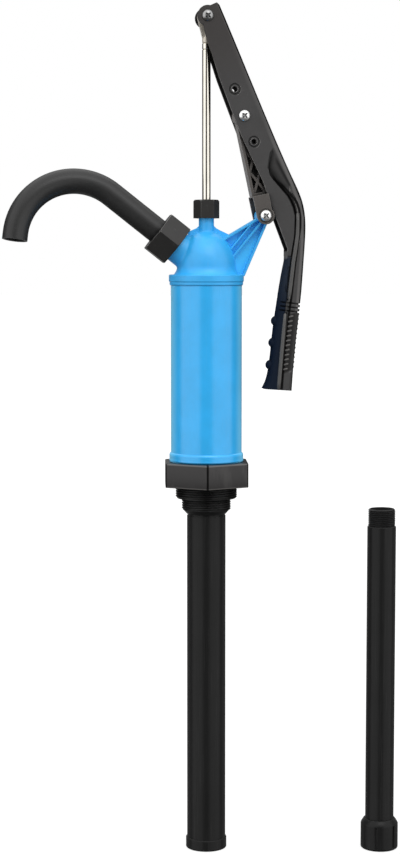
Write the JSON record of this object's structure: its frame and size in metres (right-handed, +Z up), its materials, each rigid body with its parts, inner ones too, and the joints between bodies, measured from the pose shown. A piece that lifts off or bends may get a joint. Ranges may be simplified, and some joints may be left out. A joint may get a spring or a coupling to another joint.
{
  "type": "lever drum pump",
  "caption": "Hand pump for drums: blue cylinder and head, stepped bung thread, swivel spout, long suction tube, piston rod worked by a hinged black lever.",
  "frame": {"origin": "centre of the bung thread's seat, under the hex of the adapter", "axes": "+Z up along the pump's axis, +X towards the lever, -X towards the spout"},
  "size_m": [0.3878, 0.0928, 0.8291],
  "materials": {
    "black_moulding": "satin moulded black polypropylene",
    "black_tube": "extruded black polypropylene",
    "blue_moulding": "semi-gloss moulded blue",
    "blue_tube": "semi-gloss blue tube",
    "steel_rod": "polished stainless rod",
    "steel_fastener": "bright zinc-plated steel",
    "seal_rubber": "nitrile rubber",
    "inner_plastic": "natural acetal",
    "ball_steel": "polished steel ball"
  },
  "bodies": {
    "pump_body": {"bung_adapter": "black_moulding", "adapter_gasket": "seal_rubber", "cylinder": "blue_tube", "suction_tube": "black_tube", "suction_collar": "black_moulding", "extension_tube": "black_tube", "extension_socket": "black_moulding", "pump_head": "blue_moulding", "head_seal": "seal_rubber", "gland_packing": "seal_rubber", "gland_washer": "steel_fastener", "gland_nut": "black_moulding", "spout_nut": "black_moulding", "spout_gasket": "seal_rubber", "foot_valve_seat": "inner_plastic", "foot_valve_cage": "inner_plastic", "bracket_pin": "steel_fastener"},
    "spout_body": {"spout": "black_tube"},
    "rod_body": {"piston_rod": "steel_rod", "rod_lock_ring": "steel_rod", "rod_eye": "steel_rod", "piston": "inner_plastic", "piston_seal": "seal_rubber", "piston_nut": "steel_fastener", "valve_stop": "steel_fastener"},
    "valve_body": {"piston_valve": "seal_rubber"},
    "ball_body": {"foot_valve_ball": "ball_steel"},
    "lever_body": {"lever": "black_moulding", "rod_spacers": "inner_plastic", "rod_pin": "steel_fastener", "rod_pin_screws": "steel_fastener", "link_pin": "steel_fastener", "link_pin_screws": "steel_fastener"},
    "link_body": {"link": "black_moulding", "bracket_pin_screws": "steel_fastener"}
  },
  "joints": [
    {"name": "lever_swing", "type": "hinge", "parent": "rod_body", "child": "lever_body", "pos_m": [0, 0, 0.45339], "axis": [0, -1, 0], "range_deg": [0, 95.41]},
    {"name": "rod_slide", "type": "slide", "parent": "pump_body", "child": "rod_body", "axis": [0, 0, -1], "range_m": [0, 0.143]},
    {"name": "link_swing", "type": "hinge", "parent": "lever_body", "child": "link_body", "pos_m": [0.03546, 0, 0.35882], "axis": [0, 1, 0], "range_deg": [0, 128.32]},
    {"name": "spout_swivel", "type": "hinge", "parent": "pump_body", "child": "spout_body", "pos_m": [0, 0, 0.2107], "axis": [-0.7848, 0, 0.6198], "range_deg": [-180, 180]},
    {"name": "piston_valve_lift", "type": "slide", "parent": "rod_body", "child": "valve_body", "axis": [0, 0, 1], "range_m": [0, 0.003]},
    {"name": "foot_valve_lift", "type": "slide", "parent": "pump_body", "child": "ball_body", "axis": [0, 0, 1], "range_m": [0, 0.005]}
  ],
  "couplings": [
    {"joint": "rod_slide", "follows": "lever_swing", "m_per_rad": 0.085874},
    {"joint": "link_swing", "follows": "lever_swing", "ratio": 1.3449}
  ]
}
